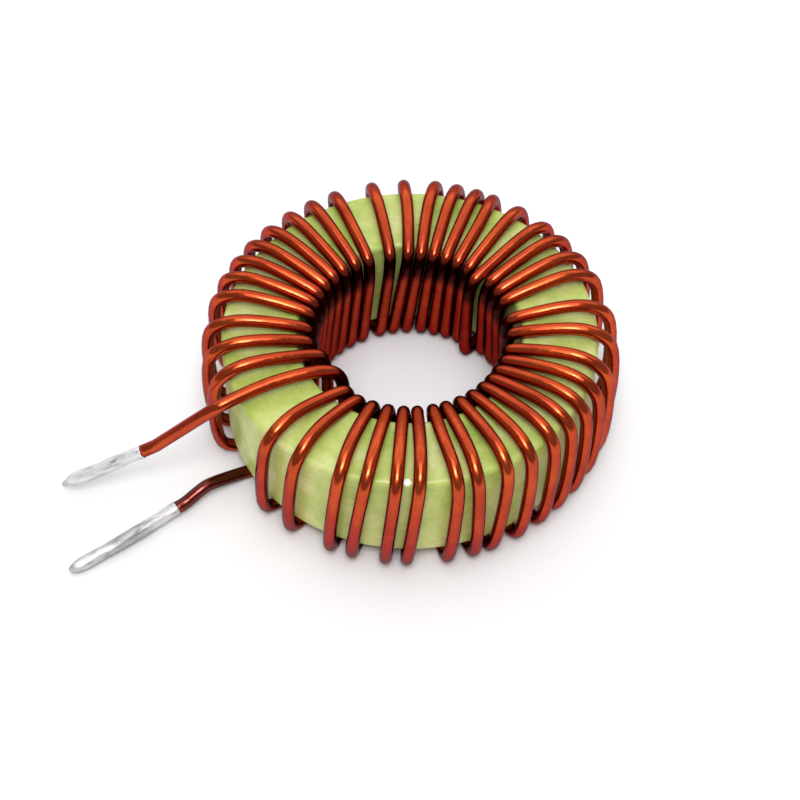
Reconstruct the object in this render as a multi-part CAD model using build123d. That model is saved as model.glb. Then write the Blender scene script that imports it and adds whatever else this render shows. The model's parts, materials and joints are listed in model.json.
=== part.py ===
"""Toroidal inductor: a coated ring core wound with one length of enamelled copper wire, lying flat.

The origin is on the ring's axis, on the surface that the turns rest on, with +Z up.
The two leads leave together on the -X side, one over the core and one from under it.
"""
import os
from math import asin, cos, degrees, radians, sin, sqrt

from build123d import *

# Ring core with its coat, in millimetres. Its bore is a share of its diameter.
core_diameter = 32.3
core_bore_share = 0.597
core_height = 10.9
core_rim_radius = 0.9
core_bore_radius = 0.5

# Enamelled wire, and how its turns lie on the core and beside each other.
wire_diameter = 1.12
enamel_thickness = 0.03
seat_gap = 0.05
top_bow = 0.3
drop_gap = 0.6
drop_lift = 0.25

# Upper lead, from where it bends down past the core's rim to its tinned tip.
upper_overhang = 2.15
upper_lead_length = 7.9
upper_stub_length = 1.4
upper_tinned_length = 9.1

# Lower lead, from under the core's rim over a low crest to its tinned tip.
lower_inset = 0.1
lower_crest_reach = 3.9
lower_crest_height = 1.4
lower_lead_length = 2.4
lower_stub_length = 0.9
lower_tinned_length = 10.7

# What both leads share: their bends, and the solder and blunt points of their tinned ends.
lead_bend = 2.6
solder_thickness = 0.06
tip_length = 1.0
tip_diameter = 0.5

# Directions in degrees: headings turn counter-clockwise from +X, falls point below the horizontal.
first_turn_angle = 199.0
upper_lead_heading = 179.0
upper_lead_fall_angle = 45.0
upper_tip_fall_angle = 35.0
lower_rim_angle = 206.0
lower_lead_heading = 216.0
lower_lead_fall_angle = 22.0
lower_tip_fall_angle = 1.5

# Turns in winding order, clockwise from the lower lead, and last the rise to the upper lead. The bore
# holds them side by side, and the rest of its round is dealt out to the gaps after them in these shares.
gap_shares = (
    22, 20, 36, 6, 0, 0, 2, 2, 9, 10,
    58, 34, 3, 2, 2, 1, 6, 16, 0, 8,
    7, 59, 29, 40, 8, 2, 0, 0, 10, 8,
    12, 0, 12, 1, 11, 15, 50, 30, 88, 30,
)
# Leans as shares of an even pitch. The foot of each drop outside trails its head. The foot of each
# rise in the bore runs ahead by a lean that changes along the winding: (way along it, lean).
drop_lean_share = -0.36
rise_lean_shares = (
    (0.0, 1.3), (0.03, 0.45), (0.26, 0.48), (0.3, 1.05), (0.33, 1.0), (0.36, 0.87), (0.45, 0.87), (0.6, 0.7),
    (1.0, 0.5),
)
# Rises and drops hang looser on some sides of the ring: (way along the winding, more gap in wire diameters).
rise_slack_shares = ((0.0, 0.0), (0.16, 0.0), (0.24, 0.2), (0.42, 0.2), (0.48, 0.0), (1.0, 0.0))
drop_slack_shares = (
    (0.0, 0.25), (0.1, 0.25), (0.18, 0.0), (0.27, -0.1), (0.4, -0.1), (0.46, 0.0), (0.53, 0.35), (0.6, 0.35),
    (0.68, 0.0), (0.92, 0.0), (1.0, 0.1),
)
# Rises that stray from their places: (off the bore, in wire diameters; round it, in even pitches).
rise_stray_shares = {0: (0.6, 0.2), 18: (0.8, 0.0), 37: (0.0, 0.43), 38: (0.2, 0.58), 39: (1.5, 1.03)}
# Drops that stray from their places: (head; foot; both round the ring, in even pitches).
drop_stray_shares = {
    8: (-0.12, -0.12), 9: (-0.1, -0.1), 10: (-0.07, -0.07), 11: (0.09, 0.09), 12: (0.19, 0.19),
    13: (-0.13, -0.13), 14: (-0.05, -0.05), 15: (0.08, 0.08), 16: (0.33, 0.33), 17: (0.13, 0.13),
    30: (0.05, -0.09), 31: (-0.05, 0.29), 32: (0.16, 0.2), 33: (-0.11, -0.2), 34: (0.0, -0.06),
    35: (0.0, -0.25), 36: (0.14, 0.0), 37: (0.04, -0.14), 38: (0.02, -0.08),
}

# The wire's section has eight sides. Its bends have mitred corners, fewer at the feet under the core.
wire_sides = 8
head_corners = 3
foot_corners = 2

core_bore = core_diameter * core_bore_share
wire_radius = wire_diameter / 2
core_bottom = wire_diameter + seat_gap
core_top = core_bottom + core_height
turn_low = wire_radius
turn_high = core_top + seat_gap + wire_radius
turn_inside = core_bore / 2 - seat_gap - wire_radius
turn_outside = core_diameter / 2 + seat_gap + drop_gap + wire_radius
turn_middle = (turn_inside + turn_outside) / 2
turn_deepest = turn_inside - wire_diameter * max(slack for _, slack in rise_slack_shares)
rise_bend = core_bore_radius + seat_gap + wire_radius
rim_bend = core_rim_radius + seat_gap + wire_radius
tinned_radius = wire_radius - enamel_thickness + solder_thickness


def polar(radius, angle, height):
    """The point at a radius and an angle about the ring's axis."""
    return Vector(radius * cos(radians(angle)), radius * sin(radians(angle)), height)


def direction(heading, fall):
    """The unit vector along a heading that falls below the horizontal."""
    level = cos(radians(fall))
    return Vector(level * cos(radians(heading)), level * sin(radians(heading)), -sin(radians(fall)))


def between(stations, place):
    """The value at a place, on straight lines from each station to the next."""
    for (start, low), (end, high) in zip(stations, stations[1:]):
        if place <= end:
            break
    return low + (high - low) * (place - start) / (end - start)


def bend(before, corner, after, radius, count):
    """The mitred corners that round off one corner, set where tangents of its arc meet."""
    come = (corner - before).normalized()
    go = (after - corner).normalized()
    along = (come + go).normalized()
    inward = (go - come).normalized()
    turn = radians(come.get_angle(go))
    step = turn / count
    centre = corner + inward * (radius / cos(turn / 2))
    swings = [step * (index + 0.5) - turn / 2 for index in range(count)]
    reach = radius / cos(step / 2)
    return [centre + (along * sin(swing) - inward * cos(swing)) * reach for swing in swings]


def rounded(route):
    """The points along a route of corners, each with its bend's radius and count of mitred corners."""
    points = [route[0][0]]
    for (before, *_), (corner, radius, count), (after, *_) in zip(route, route[1:], route[2:]):
        points += bend(before, corner, after, radius, count)
    return points + [route[-1][0]]


def rise(index):
    """One run up the bore, from its foot to its head."""
    way = index / turn_count
    off, round_bore = rise_stray_shares.get(index, (0, 0))
    inside = turn_inside - wire_diameter * (off + between(rise_slack_shares, way))
    angle = rise_angles[index] + even_pitch * round_bore
    foot = polar(inside, angle + even_pitch * between(rise_lean_shares, way), turn_low)
    head = polar(inside, angle, turn_high)
    return [(foot, rise_bend, foot_corners), (head, rise_bend, head_corners)]


def over_top(index):
    """The middle of one run over the core, where it bows up a little."""
    return [(polar(turn_middle, rise_angles[index], turn_high + top_bow), 0, 1)]


def drop(index):
    """One run down outside the core. Its head has the widest bend that keeps the seat gap at the rim."""
    slack = wire_diameter * between(drop_slack_shares, index / turn_count)
    gap = drop_gap + slack
    head_stray, foot_stray = drop_stray_shares.get(index, (0, 0))
    head_angle = rise_angles[index] + even_pitch * head_stray
    foot_angle = rise_angles[index] + even_pitch * (drop_lean_share + foot_stray)
    head = polar(turn_outside + slack, head_angle, turn_high + drop_lift)
    foot = polar(turn_outside + slack, foot_angle, turn_low)
    head_bend = rim_bend + gap + drop_lift + sqrt(2 * gap * drop_lift)
    return [(head, head_bend, head_corners), (foot, rim_bend + gap, foot_corners)]


def tinned_end(joint, axis, length):
    """One bare tinned end of the wire, round, with a blunt point."""
    profile = Polyline(
        (0, 0), (tinned_radius, 0), (tinned_radius, length - tip_length), (tip_diameter / 2, length),
        (0, length), close=True,
    )
    return Plane(origin=joint, z_dir=axis) * revolve(Plane.XZ * make_face(profile), Axis.Z)


# Angles of the rises at the top of the bore.
turn_count = len(gap_shares)
even_pitch = 360 / turn_count
snug_pitch = degrees(2 * asin(wire_radius / turn_deepest))
free_round = 360 - snug_pitch * turn_count
rise_angles = [first_turn_angle]
for share in gap_shares[:-1]:
    rise_angles.append(rise_angles[-1] - snug_pitch - free_round * share / sum(gap_shares))

# Corners of the lower lead, from under the rim outwards.
lower_rim = polar(core_diameter / 2 - lower_inset, lower_rim_angle, turn_low)
lower_crest = lower_rim + direction(lower_lead_heading, 0) * lower_crest_reach
lower_crest += Vector(0, 0, lower_crest_height)
lower_knee = lower_crest + direction(lower_lead_heading, lower_lead_fall_angle) * lower_lead_length
lower_axis = direction(lower_lead_heading, lower_tip_fall_angle)
lower_joint = lower_knee + lower_axis * lower_stub_length

# Corners of the upper lead, from past the rim outwards.
upper_rim = polar(core_diameter / 2 + upper_overhang, rise_angles[-1], turn_high)
upper_knee = upper_rim + direction(upper_lead_heading, upper_lead_fall_angle) * upper_lead_length
upper_axis = direction(upper_lead_heading, upper_tip_fall_angle)
upper_joint = upper_knee + upper_axis * upper_stub_length

# The whole wire, from the lower tinned end through every turn to the upper one.
route = [(lower_joint, 0, 0)]
route += [(corner, lead_bend, foot_corners) for corner in (lower_knee, lower_crest, lower_rim)]
for index in range(turn_count - 1):
    route += rise(index) + over_top(index) + drop(index)
last_foot, (last_head, *_) = rise(turn_count - 1)
route += [last_foot, (last_head, lead_bend, head_corners)] + over_top(turn_count - 1)
route += [(corner, lead_bend, head_corners) for corner in (upper_rim, upper_knee)]
route += [(upper_joint, 0, 0)]
wire_points = rounded(route)
wire_path = Polyline(*wire_points)
wire_section = Plane(origin=lower_joint, z_dir=-lower_axis) * RegularPolygon(wire_radius, wire_sides)
winding = sweep(wire_section, wire_path, transition=Transition.RIGHT)

# Ring core: its section turned about the axis. Its edges are rounded by the same mitred corners as the
# bends of the wire that lies on them.
core_corners = (
    (Vector(core_bore / 2, core_bottom), core_bore_radius, foot_corners),
    (Vector(core_diameter / 2, core_bottom), core_rim_radius, foot_corners),
    (Vector(core_diameter / 2, core_top), core_rim_radius, head_corners),
    (Vector(core_bore / 2, core_top), core_bore_radius, head_corners),
)
core_outline = rounded([core_corners[-1], *core_corners, core_corners[0]])[1:-1]
core_section = make_face(Polyline(*core_outline, close=True))
toroid_core = revolve(Plane.XZ * core_section, Axis.Z)

os.makedirs("parts", exist_ok=True)
export_step(toroid_core, "parts/toroid_core.step")
export_step(winding, "parts/winding.step")
export_step(tinned_end(upper_joint, upper_axis, upper_tinned_length), "parts/upper_tinned_end.step")
export_step(tinned_end(lower_joint, lower_axis, lower_tinned_length), "parts/lower_tinned_end.step")
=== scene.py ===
"""A toroidal inductor lying flat on a pale floor, seen from the front and well above."""
import json
import math

import bpy
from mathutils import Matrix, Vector


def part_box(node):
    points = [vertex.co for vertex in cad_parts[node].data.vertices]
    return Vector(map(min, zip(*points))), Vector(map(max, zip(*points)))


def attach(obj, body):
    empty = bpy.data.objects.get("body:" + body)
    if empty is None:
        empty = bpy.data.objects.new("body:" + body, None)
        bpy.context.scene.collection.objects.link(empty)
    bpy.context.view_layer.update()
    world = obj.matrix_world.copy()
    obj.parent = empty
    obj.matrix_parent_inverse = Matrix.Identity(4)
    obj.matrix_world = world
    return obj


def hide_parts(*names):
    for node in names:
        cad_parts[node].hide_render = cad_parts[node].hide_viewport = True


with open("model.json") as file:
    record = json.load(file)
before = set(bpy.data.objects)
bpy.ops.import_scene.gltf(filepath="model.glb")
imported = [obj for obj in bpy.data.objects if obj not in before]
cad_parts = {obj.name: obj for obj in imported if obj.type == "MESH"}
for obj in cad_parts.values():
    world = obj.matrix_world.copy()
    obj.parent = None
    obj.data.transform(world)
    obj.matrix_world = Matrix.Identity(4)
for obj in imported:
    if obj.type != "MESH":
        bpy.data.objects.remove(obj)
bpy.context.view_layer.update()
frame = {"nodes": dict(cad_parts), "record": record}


# Ring core: a ring of pressed metal powder with a thick, glossy yellow-green epoxy coat.
# The coat is sprayed or dipped on, so its edges are round, its flats are a little uneven,
# and dust and pale spots are left in it. A white glint on the rim between the two front turns
# is painted into the coat's colour: a painted highlight.
MM = 0.001
core_low, core_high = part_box("toroid_core")
core_rim = core_high.x
core_bore = 9.64 * MM
top_sink, bottom_lift = 0.4 * MM, 0.12 * MM
core_bottom, core_top = core_low.z + bottom_lift, core_high.z - top_sink
upper_rim_round, lower_rim_round = 0.5 * MM, 1.35 * MM
upper_bore_round, lower_bore_round = 0.5 * MM, 1.1 * MM
rim_segments, bore_segments = 10, 8
core_steps = 192
merge_gap = 0.002 * MM
# Coat greens from the random clouds; the last, near-white stop is reached only by the painted
# glint.
coat_greens_and_glint = (
    (0.30, (0.30, 0.42, 0.065)), (0.45, (0.44, 0.54, 0.115)), (0.58, (0.54, 0.60, 0.19)),
    (0.74, (0.70, 0.73, 0.38)), (0.95, (0.97, 0.97, 0.95)),
)
dust_tones = (
    (0.20, (0.55, 0.58, 0.45)), (0.29, (1.0, 1.0, 1.0)), (0.80, (1.05, 1.04, 1.02)),
)
# Painted light and shade: the side is made lighter and the top darker, as the light falls on them.
painted_side_light, painted_top_shade = (1.12, 1.09, 1.12), (0.85, 0.87, 0.86)
painted_light_change = 0.7 * MM
cloud_size, gloss_size, ripple_size, dust_size = 4.0 * MM, 3.0 * MM, 2.2 * MM, 0.5 * MM
ripple_depth, dust_depth = 0.12 * MM, 0.02 * MM
# Painted highlight: a soft white glint spot on the rim's edge, in millimetres.
painted_glint_middle, painted_glint_reach, painted_glint_edge = (-0.26, -15.8, 11.62), (0.33, 0.36, 0.34), 0.2
coat_roughness = (0.32, 0.5)


def deselect_all():
    bpy.ops.object.select_all(action="DESELECT")


def choose(piece):
    deselect_all()
    piece.hide_set(False)
    piece.select_set(True)
    bpy.context.view_layer.objects.active = piece


def edit(piece):
    choose(piece)
    bpy.ops.object.mode_set(mode="EDIT")


def leave_edit():
    bpy.ops.object.mode_set(mode="OBJECT")


def start_picking(piece, mode):
    edit(piece)
    bpy.ops.mesh.select_mode(type=mode)
    bpy.ops.mesh.select_all(action="DESELECT")
    leave_edit()


def pick_vertices(piece, wanted):
    """Opens a piece for editing with only the vertices selected whose places are wanted."""
    start_picking(piece, "VERT")
    for vertex in piece.data.vertices:
        vertex.select = wanted(vertex.co)
    edit(piece)


def round_corners(piece, wanted, radius, segments):
    pick_vertices(piece, wanted)
    bpy.ops.mesh.bevel(offset=radius, segments=segments, affect="VERTICES")
    leave_edit()


deselect_all()
bpy.ops.mesh.primitive_plane_add(size=1)
core = bpy.context.object
core.name = "ring_core"
half_way, half_up = (core_rim + core_bore) / 2, (core_top + core_bottom) / 2
core.scale = (core_rim - core_bore, core_top - core_bottom, 1)
core.rotation_euler = (math.pi / 2, 0, 0)
core.location = (half_way, 0, half_up)
bpy.ops.object.transform_apply(location=True, rotation=True, scale=True)
round_corners(core, lambda at: at.x > half_way and at.z > half_up, upper_rim_round, rim_segments)
round_corners(core, lambda at: at.x > half_way and at.z < half_up, lower_rim_round, rim_segments)
round_corners(core, lambda at: at.x < half_way and at.z > half_up, upper_bore_round, bore_segments)
round_corners(core, lambda at: at.x < half_way and at.z < half_up, lower_bore_round, bore_segments)
edit(core)
bpy.ops.mesh.select_all(action="SELECT")
bpy.ops.mesh.delete(type="ONLY_FACE")
bpy.ops.mesh.select_all(action="SELECT")
bpy.ops.mesh.spin(steps=core_steps, angle=2 * math.pi, center=(0, 0, 0), axis=(0, 0, 1))
bpy.ops.mesh.select_all(action="SELECT")
bpy.ops.mesh.remove_doubles(threshold=merge_gap)
bpy.ops.mesh.normals_make_consistent(inside=False)
leave_edit()
choose(core)
bpy.ops.object.shade_smooth()


def new_material(name):
    material = bpy.data.materials.new(name)
    material.use_nodes = True
    nodes = material.node_tree.nodes
    return material, nodes, material.node_tree.links, nodes["Principled BSDF"]


def object_coordinates(nodes):
    return nodes.new("ShaderNodeTexCoord").outputs["Object"]


def height_part(nodes, links, place):
    parts = nodes.new("ShaderNodeSeparateXYZ")
    links.new(place, parts.inputs["Vector"])
    return parts.outputs["Z"]


def noise(nodes, links, place, size, detail=3.0, rough=0.55):
    texture = nodes.new("ShaderNodeTexNoise")
    texture.inputs["Scale"].default_value = 1 / size
    texture.inputs["Detail"].default_value = detail
    texture.inputs["Roughness"].default_value = rough
    links.new(place, texture.inputs["Vector"])
    return texture.outputs["Fac"]


def ramp(nodes, links, value, stops):
    blend = nodes.new("ShaderNodeValToRGB")
    points = blend.color_ramp.elements
    while len(points) < len(stops):
        points.new(0.5)
    for point, (position, colour) in zip(points, stops):
        point.position = position
        point.color = (*colour, 1)
    links.new(value, blend.inputs["Fac"])
    return blend.outputs["Color"]


def colour_mix(nodes, links, first, second):
    mix = nodes.new("ShaderNodeMix")
    mix.data_type = "RGBA"
    links.new(first, mix.inputs["A"])
    links.new(second, mix.inputs["B"])
    return mix


def blend_by(nodes, links, share, first, second):
    mix = colour_mix(nodes, links, first, second)
    links.new(share, mix.inputs["Factor"])
    return mix.outputs["Result"]


def multiply(nodes, links, first, second):
    mix = colour_mix(nodes, links, first, second)
    mix.blend_type = "MULTIPLY"
    mix.inputs["Factor"].default_value = 1.0
    return mix.outputs["Result"]


def map_range(nodes, links, value, old, new):
    span = nodes.new("ShaderNodeMapRange")
    span.inputs["From Min"].default_value, span.inputs["From Max"].default_value = old
    span.inputs["To Min"].default_value, span.inputs["To Max"].default_value = new
    links.new(value, span.inputs["Value"])
    return span.outputs["Result"]


def uneven_roughness(nodes, links, pattern, roughness, shader):
    mid_noise = (0.3, 0.7)
    rough = map_range(nodes, links, pattern, mid_noise, roughness)
    links.new(rough, shader.inputs["Roughness"])


def bump(nodes, links, height, distance, strength, under=None):
    relief = nodes.new("ShaderNodeBump")
    relief.inputs["Distance"].default_value = distance
    relief.inputs["Strength"].default_value = strength
    links.new(height, relief.inputs["Height"])
    if under is not None:
        links.new(under, relief.inputs["Normal"])
    return relief.outputs["Normal"]


def within(nodes, links, place, middle, reach, edge, heading=0):
    """One in a soft-edged spot and nought outside it. Its middle and reach are in millimetres."""
    spot = nodes.new("ShaderNodeMapping")
    spot.vector_type = "TEXTURE"
    spot.inputs["Location"].default_value = [value * MM for value in middle]
    spot.inputs["Rotation"].default_value = (0, 0, math.radians(heading))
    spot.inputs["Scale"].default_value = [value * MM for value in reach]
    links.new(place, spot.inputs["Vector"])
    length = nodes.new("ShaderNodeVectorMath")
    length.operation = "LENGTH"
    links.new(spot.outputs["Vector"], length.inputs[0])
    return map_range(nodes, links, length.outputs["Value"], (1 - edge, 1 + edge), (1, 0))


coat, nodes, links, shader = new_material("yellow_green_epoxy")
place = object_coordinates(nodes)
clouds = noise(nodes, links, place, cloud_size, detail=5.0, rough=0.6)
# Painted highlight: the glint spot lifts the coat colour to white on the rim's edge.
painted_glint = within(nodes, links, place, painted_glint_middle, painted_glint_reach, painted_glint_edge)
palest = nodes.new("ShaderNodeMath")
palest.operation = "MAXIMUM"
links.new(clouds, palest.inputs[0])
links.new(painted_glint, palest.inputs[1])
body = ramp(nodes, links, palest.outputs["Value"], coat_greens_and_glint)
dust = noise(nodes, links, place, dust_size, detail=2.0, rough=0.6)
dusty_body = multiply(nodes, links, body, ramp(nodes, links, dust, dust_tones))
# Painted light and shade: the coat is lighter on the side and darker on the top, changing over the
# last stretch below the top.
height = height_part(nodes, links, place)
near_top = map_range(nodes, links, height, (core_top - painted_light_change, core_top), (0, 1))
tone = ramp(nodes, links, near_top, ((0.0, painted_side_light), (1.0, painted_top_shade)))
links.new(multiply(nodes, links, dusty_body, tone), shader.inputs["Base Color"])
uneven_roughness(nodes, links, noise(nodes, links, place, gloss_size), coat_roughness, shader)
ripples = noise(nodes, links, place, ripple_size, detail=2.0)
rippled = bump(nodes, links, ripples, ripple_depth, strength=0.5)
dusted = bump(nodes, links, dust, dust_depth, strength=0.5, under=rippled)
links.new(dusted, shader.inputs["Normal"])
shader.inputs["Coat Weight"].default_value = 0.12
shader.inputs["Coat Roughness"].default_value = 0.15
core.data.materials.append(coat)
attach(core, "root")
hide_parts("toroid_core")


# Winding: one length of thick copper wire in an orange-red enamel, wound on the ring by hand.
# Each turn goes up the hole, over the ring, down outside and back underneath. Painted shade
# darkens the enamel in the hole and, darker still, in a band under the inner bends; the coat gloss
# is turned down in the hole. The enamel is darker on the lower lead near the ring, and it stops
# where both leads were stripped.
wire_round = 0.055 * MM
flat_angle = math.radians(2)
rise_least, rise_cuts = 4.0 * MM, 4
belly_inside = 7.6 * MM
belly_low, belly_high = 8.9 * MM, 10.3 * MM
belly_share, belly_reach = 0.92, 8.0 * MM
dip_near, dip_far, dip_band = 7.8 * MM, 9.9 * MM, 0.6 * MM
dip_depth, dip_reach = 0.6 * MM, 3.0 * MM
upper_lead_angles = (-152, -136)
joint_reach = 0.6 * MM
smooth_levels = 2
enamel_reds = (
    (0.30, (0.40, 0.038, 0.006)), (0.50, (0.49, 0.055, 0.008)), (0.70, (0.58, 0.080, 0.012)),
)
# Darker reds for the lower lead's enamel between the ring and its tinned end.
lower_lead_dark_reds = ((0.35, (0.09, 0.012, 0.009)), (0.65, (0.17, 0.026, 0.018)))
# Painted shade: darker reds for the enamel in the hole, and near-black ones for the band under the
# inner bends.
painted_hole_shade_reds = ((0.35, (0.27, 0.031, 0.016)), (0.65, (0.37, 0.049, 0.025)))
painted_bend_shade_reds = ((0.35, (0.05, 0.006, 0.003)), (0.65, (0.09, 0.011, 0.006)))
lower_lead_dark_middle, lower_lead_dark_heading = (-17.3, -9.0, 1.3), 216
lower_lead_dark_reach, lower_lead_dark_edge = (4.1, 1.6, 3.0), 0.17
hole_middle, hole_reach, hole_edge = (0, 0, 5), (12.5, 12.5, 9), 0.3
bends_middle, bends_reach, bends_edge = (0, 0, 10.7), (14, 14, 1.5), 0.3
patch_size, draw_size, grain_size = 3.5 * MM, 1.6 * MM, 0.45 * MM
draw_depth, grain_depth = 0.10 * MM, 0.012 * MM
enamel_roughness = (0.15, 0.29)
open_gloss, hole_gloss = 0.35, 0.06


def apply_modifiers(piece):
    choose(piece)
    for modifier in list(piece.modifiers):
        bpy.ops.object.modifier_apply(modifier=modifier.name)


def smooth_by_subdivision(piece, name):
    smooth = piece.modifiers.new(name, "SUBSURF")
    smooth.levels = smooth_levels
    smooth.render_levels = smooth_levels
    apply_modifiers(piece)


choose(frame["nodes"]["winding"])
bpy.ops.object.duplicate()
wire = bpy.context.object
wire.name = "enamelled_wire"
wire.parent = None
for key in list(wire.keys()):
    del wire[key]
wire.data.materials.clear()
edit(wire)
bpy.ops.mesh.select_all(action="SELECT")
bpy.ops.mesh.remove_doubles(threshold=merge_gap)
bpy.ops.mesh.tris_convert_to_quads(face_threshold=flat_angle, shape_threshold=math.pi)
leave_edit()
start_picking(wire, "EDGE")
for edge in wire.data.edges:
    first, second = (wire.data.vertices[end].co for end in edge.vertices)
    in_bore = max(first.xy.length, second.xy.length) < core_bore
    edge.select = in_bore and abs(first.z - second.z) > rise_least
edit(wire)
bpy.ops.mesh.subdivide(number_cuts=rise_cuts)
leave_edit()


def off_upper_lead(at):
    angle = math.degrees(math.atan2(at.y, at.x))
    return not upper_lead_angles[0] < angle < upper_lead_angles[1]


def on_belly(at):
    in_bore = belly_inside < at.xy.length < core_bore
    return off_upper_lead(at) and in_bore and belly_low < at.z < belly_high


def on_inner_end(at):
    return off_upper_lead(at) and dip_near < at.xy.length < dip_far and at.z > core_top - dip_band


pick_vertices(wire, on_belly)
bpy.ops.transform.resize(
    value=(belly_share, belly_share, 1), center_override=(0, 0, 0),
    use_proportional_edit=True, use_proportional_connected=True,
    proportional_edit_falloff="LINEAR", proportional_size=belly_reach,
)
leave_edit()
pick_vertices(wire, on_inner_end)
bpy.ops.transform.translate(
    value=(0, 0, -dip_depth),
    use_proportional_edit=True, use_proportional_connected=True,
    proportional_edit_falloff="SMOOTH", proportional_size=dip_reach,
)
leave_edit()


def lead_joint(mount):
    """The place where a lead's enamel stops, at the start of its tinned end."""
    half_run = mount["dims"]["length_mm"] * MM / 2
    return Vector(mount["pos_m"]) - Vector(mount["axis"]) * half_run


leads = {mount["name"]: mount for mount in frame["record"]["mounts"] if mount["kind"] == "pin"}
joints = [lead_joint(mount) for mount in leads.values()]
pick_vertices(wire, lambda at: min((at - joint).length for joint in joints) < joint_reach)
bpy.ops.transform.edge_crease(value=1)
leave_edit()
smooth_by_subdivision(wire, "bend_smooth")
edit(wire)
bpy.ops.mesh.select_all(action="SELECT")
bpy.ops.transform.shrink_fatten(value=wire_round)
leave_edit()
choose(wire)
bpy.ops.object.shade_smooth()

enamel, nodes, links, shader = new_material("orange_red_enamel")
place = object_coordinates(nodes)
patches = noise(nodes, links, place, patch_size, detail=4.0, rough=0.6)
red = ramp(nodes, links, patches, enamel_reds)
# The lower lead's enamel is made darker between the ring and its tinned end.
lower_lead_dark = ramp(nodes, links, patches, lower_lead_dark_reds)
lower_lead_darkening = within(nodes, links, place, lower_lead_dark_middle, lower_lead_dark_reach, lower_lead_dark_edge, lower_lead_dark_heading)
# Painted shade: the enamel is darkened in the hole and, more, in a band under the inner bends.
painted_hole_shade = ramp(nodes, links, patches, painted_hole_shade_reds)
in_hole = within(nodes, links, place, hole_middle, hole_reach, hole_edge)
painted_bend_shade = ramp(nodes, links, patches, painted_bend_shade_reds)
under_bends = within(nodes, links, place, bends_middle, bends_reach, bends_edge)
outside = blend_by(nodes, links, lower_lead_darkening, red, lower_lead_dark)
inside = blend_by(nodes, links, in_hole, outside, painted_hole_shade)
links.new(blend_by(nodes, links, under_bends, inside, painted_bend_shade), shader.inputs["Base Color"])
grain = noise(nodes, links, place, grain_size, detail=3.0, rough=0.6)
uneven_roughness(nodes, links, grain, enamel_roughness, shader)
draw_marks = noise(nodes, links, place, draw_size, detail=2.0)
drawn = bump(nodes, links, draw_marks, draw_depth, strength=0.5)
grained = bump(nodes, links, grain, grain_depth, strength=0.35, under=drawn)
links.new(grained, shader.inputs["Normal"])
# The coat gloss is turned down where the hole's enamel is painted in shade.
gloss = map_range(nodes, links, in_hole, (0, 1), (open_gloss, hole_gloss))
links.new(gloss, shader.inputs["Coat Weight"])
shader.inputs["Coat Roughness"].default_value = 0.12
shader.inputs["Metallic"].default_value = 1.0
shader.inputs["Specular Tint"].default_value = (0.12, 0.03, 0.015, 1)
wire.data.materials.append(enamel)
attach(wire, "root")
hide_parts("winding")


# Tinned ends: the bare copper at both ends of the wire, stripped and dipped in solder.
# The solder is uneven, with streaks along the wire, a round shoulder at the enamel and a nib at
# the tip. Both ends are bent a little by hand.
tin_radius = 0.575 * MM
tip_run = 1.0 * MM
tin_sides = 20
tin_merge_gap = 0.001 * MM
lump_size, lump_height, lump_squash = 0.6 * MM, 0.15 * MM, 0.3
streak_size, streak_stretch, pit_size, pit_depth = 0.42 * MM, 5, 0.25 * MM, 0.04 * MM
solder_greys = (
    (0.32, (0.30, 0.30, 0.31)), (0.41, (0.60, 0.59, 0.60)), (0.52, (0.78, 0.77, 0.78)),
    (0.72, (0.88, 0.88, 0.88)),
)
solder_roughness = (0.5, 0.28)
# Rings from the enamel to the tip: way along, share of the radius, and shifts aside and up in
# millimetres. Tones: way along, brightness.
upper_rings = (
    (0.00, 0.90, 0.00, 0.00), (0.010, 1.02, 0.00, 0.00), (0.035, 1.06, 0.00, 0.00),
    (0.09, 1.00, 0.00, 0.02), (0.17, 0.98, 0.01, 0.03), (0.26, 1.03, 0.00, 0.02),
    (0.36, 1.06, -0.01, 0.00), (0.46, 1.08, 0.00, -0.02), (0.56, 1.07, 0.01, -0.02),
    (0.66, 1.09, 0.01, 0.01), (0.76, 1.08, 0.00, 0.06), (0.85, 1.04, -0.02, 0.11),
    (0.905, 0.92, -0.03, 0.13), (0.935, 0.68, -0.02, 0.12), (0.955, 0.52, 0.00, 0.10),
    (0.98, 0.50, 0.00, 0.09), (0.995, 0.44, 0.00, 0.09), (1.0, 0.24, 0.00, 0.09),
)
lower_rings = (
    (0.00, 0.90, 0.00, 0.00), (0.008, 1.03, 0.00, 0.00), (0.03, 1.08, 0.00, 0.00),
    (0.08, 0.98, 0.00, 0.00), (0.15, 1.00, 0.03, 0.00), (0.23, 1.07, 0.06, 0.01),
    (0.32, 1.12, 0.09, 0.02), (0.41, 1.10, 0.10, 0.02), (0.50, 1.06, 0.10, 0.01),
    (0.60, 1.04, 0.08, 0.00), (0.70, 1.03, 0.05, 0.00), (0.80, 1.02, 0.00, 0.00),
    (0.885, 0.97, -0.06, -0.02), (0.94, 0.84, -0.10, -0.04), (0.972, 0.64, -0.12, -0.06),
    (0.988, 0.52, -0.13, -0.07), (1.0, 0.26, -0.13, -0.07),
)
upper_tones = ((0.0, 0.95), (0.12, 1.0), (0.5, 0.95), (0.85, 0.98), (0.95, 0.75))
lower_tones = ((0.0, 0.92), (0.22, 0.85), (0.36, 0.56), (0.56, 0.5), (0.72, 0.78), (0.95, 0.72))


def stretch_and_shift(piece, stretch, shift):
    piece.scale = (1, 1, stretch)
    piece.location = (shift, 0, 0)
    bpy.ops.object.transform_apply(location=True, rotation=False, scale=True)


def turned_coordinates(nodes, links, turn, scale, start=(0, 0, 0)):
    mapping = nodes.new("ShaderNodeMapping")
    mapping.vector_type = "TEXTURE"
    mapping.inputs["Location"].default_value = start
    mapping.inputs["Rotation"].default_value = turn
    mapping.inputs["Scale"].default_value = scale
    links.new(object_coordinates(nodes), mapping.inputs["Vector"])
    return mapping.outputs["Vector"]


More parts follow.
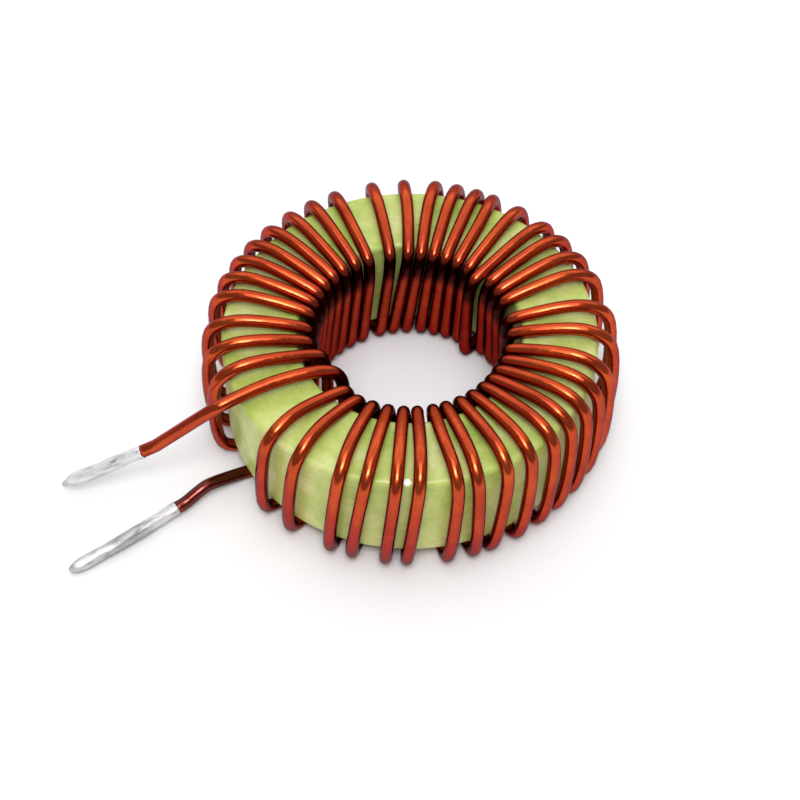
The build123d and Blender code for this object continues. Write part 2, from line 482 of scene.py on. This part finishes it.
def tinned_end(name, lead, node, rings, tones, lump_shift):
    axis = Vector(lead["axis"])
    turn = axis.to_track_quat("Z", "Y").to_euler()
    joint = lead_joint(lead)
    length = lead["dims"]["length_mm"] * MM + tip_run
    first_radius = tin_radius * rings[0][1]
    deselect_all()
    bpy.ops.mesh.primitive_circle_add(vertices=tin_sides, radius=first_radius, fill_type="NGON")
    piece = bpy.context.object
    piece.name = name
    edit(piece)
    bpy.ops.mesh.select_mode(type="FACE")
    bpy.ops.mesh.select_all(action="SELECT")
    bpy.ops.mesh.duplicate()
    for ring, next_ring in zip(rings, rings[1:]):
        way, share, aside, lift = ring
        next_way, next_share, next_aside, next_lift = next_ring
        step = ((next_aside - aside) * MM, (next_lift - lift) * MM, (next_way - way) * length)
        bpy.ops.mesh.extrude_region_move(TRANSFORM_OT_translate={"value": step})
        middle = (next_aside * MM, next_lift * MM, next_way * length)
        grow = next_share / share
        bpy.ops.transform.resize(value=(grow, grow, 1), center_override=middle)
    bpy.ops.mesh.select_all(action="SELECT")
    bpy.ops.mesh.remove_doubles(threshold=tin_merge_gap)
    bpy.ops.mesh.normals_make_consistent(inside=False)
    leave_edit()
    smooth_by_subdivision(piece, "smooth_solder")
    lumps = bpy.data.textures.new(name + "_lumps", "CLOUDS")
    lumps.noise_scale = lump_size
    lumps.noise_depth = 2
    streaks = piece.modifiers.new("solder_streaks", "DISPLACE")
    streaks.texture = lumps
    streaks.texture_coords = "LOCAL"
    streaks.strength = lump_height
    streaks.mid_level = 0.5
    stretch_and_shift(piece, lump_squash, lump_shift)
    apply_modifiers(piece)
    stretch_and_shift(piece, 1 / lump_squash, -lump_shift)
    piece.rotation_euler = turn
    piece.location = joint
    bpy.ops.object.transform_apply(location=True, rotation=True, scale=True)
    bpy.ops.object.shade_smooth()

    solder, nodes, links, shader = new_material(name + "_solder")
    place = turned_coordinates(nodes, links, turn, (1, 1, streak_stretch))
    streak = noise(nodes, links, place, streak_size, detail=4.0, rough=0.65)
    streak_tone = ramp(nodes, links, streak, solder_greys)
    along = turned_coordinates(nodes, links, turn, (length, length, length), start=joint)
    way_along = height_part(nodes, links, along)
    way_tone = ramp(nodes, links, way_along, [(way, (tone, tone, tone)) for way, tone in tones])
    links.new(multiply(nodes, links, streak_tone, way_tone), shader.inputs["Base Color"])
    uneven_roughness(nodes, links, streak, solder_roughness, shader)
    pits = noise(nodes, links, place, pit_size, detail=3.0)
    pitted = bump(nodes, links, pits, pit_depth, strength=0.6)
    links.new(pitted, shader.inputs["Normal"])
    shader.inputs["Metallic"].default_value = 0.45
    shader.inputs["Specular Tint"].default_value = (0.25, 0.25, 0.26, 1)
    piece.data.materials.append(solder)
    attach(piece, "root")
    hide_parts(node)


tinned_end(
    "upper_tinned_lead", leads["upper_lead"], "upper_tinned_end", upper_rings, upper_tones,
    lump_shift=0,
)
tinned_end(
    "lower_tinned_lead", leads["lower_lead"], "lower_tinned_end", lower_rings, lower_tones,
    lump_shift=40 * MM,
)


# Camera: a long lens at the front, well above the floor.
# Its angle, distance and place are fitted to the ring in the photograph.
camera_elevation = math.radians(52.944)
camera_distance = 180 * MM
focal_pixels, picture_pixels = 2005, 800
sensor_width = 36
camera_left, camera_rise = 0.834 * MM, 0.340 * MM
right = Vector((1, 0, 0))
up = Vector((0, math.sin(camera_elevation), math.cos(camera_elevation)))
ahead = Vector((0, math.cos(camera_elevation), -math.sin(camera_elevation)))
aim = Vector((0, 0, core_low.z)) - right * camera_left + up * camera_rise
deselect_all()
bpy.ops.object.camera_add()
camera = bpy.context.object
camera.name = "front_camera"
camera.location = aim - ahead * camera_distance
camera.rotation_euler = (math.pi / 2 - camera_elevation, 0, 0)
camera.data.sensor_width = sensor_width
camera.data.lens = focal_pixels / picture_pixels * sensor_width
camera.data.clip_start = 5 * MM
camera.data.clip_end = 10
bpy.context.scene.camera = camera


# Floor: a wide sheet of plain near-white board that the part lies on.
# It is matt, so it takes only soft shadows.
floor_width = 4
board_colour, board_roughness = (0.765, 0.76, 0.775, 1), 0.7
deselect_all()
bpy.ops.mesh.primitive_plane_add(size=floor_width)
floor = bpy.context.object
floor.name = "pale_floor"
board, nodes, links, shader = new_material("pale_board")
shader.inputs["Base Color"].default_value = board_colour
shader.inputs["Roughness"].default_value = board_roughness
floor.data.materials.append(board)


# Light: a broad soft box above and behind, and a small key light in a soft glow above and in front.
# A pale wall stands far behind, and the room is dim.
room_colour, room_strength = (1.0, 0.99, 1.0, 1), 0.32


def soft_light(name, place, width, depth, power):
    deselect_all()
    bpy.ops.object.light_add(type="AREA", location=place)
    light = bpy.context.object
    light.name = name
    light.rotation_euler = (-Vector(place)).to_track_quat("-Z", "Y").to_euler()
    light.data.shape = "RECTANGLE"
    light.data.size = width
    light.data.size_y = depth
    light.data.energy = power


soft_light("soft_box", (0.0, 0.28, 0.45), width=1.2, depth=0.48, power=1.5)
soft_light("glow_light", (0.0, -0.11, 0.44), width=0.34, depth=0.36, power=1.1)
soft_light("key_light", (0.0, -0.205, 0.40), width=0.13, depth=0.13, power=0.95)
soft_light("back_wall", (0.0, 1.0, 0.5), width=3.4, depth=1.0, power=4.2)
room = bpy.data.worlds.new("dim_room")
bpy.context.scene.world = room
room.use_nodes = True
room_light = room.node_tree.nodes["Background"]
room_light.inputs["Color"].default_value = room_colour
room_light.inputs["Strength"].default_value = room_strength
bpy.context.scene.view_settings.view_transform = "Standard"
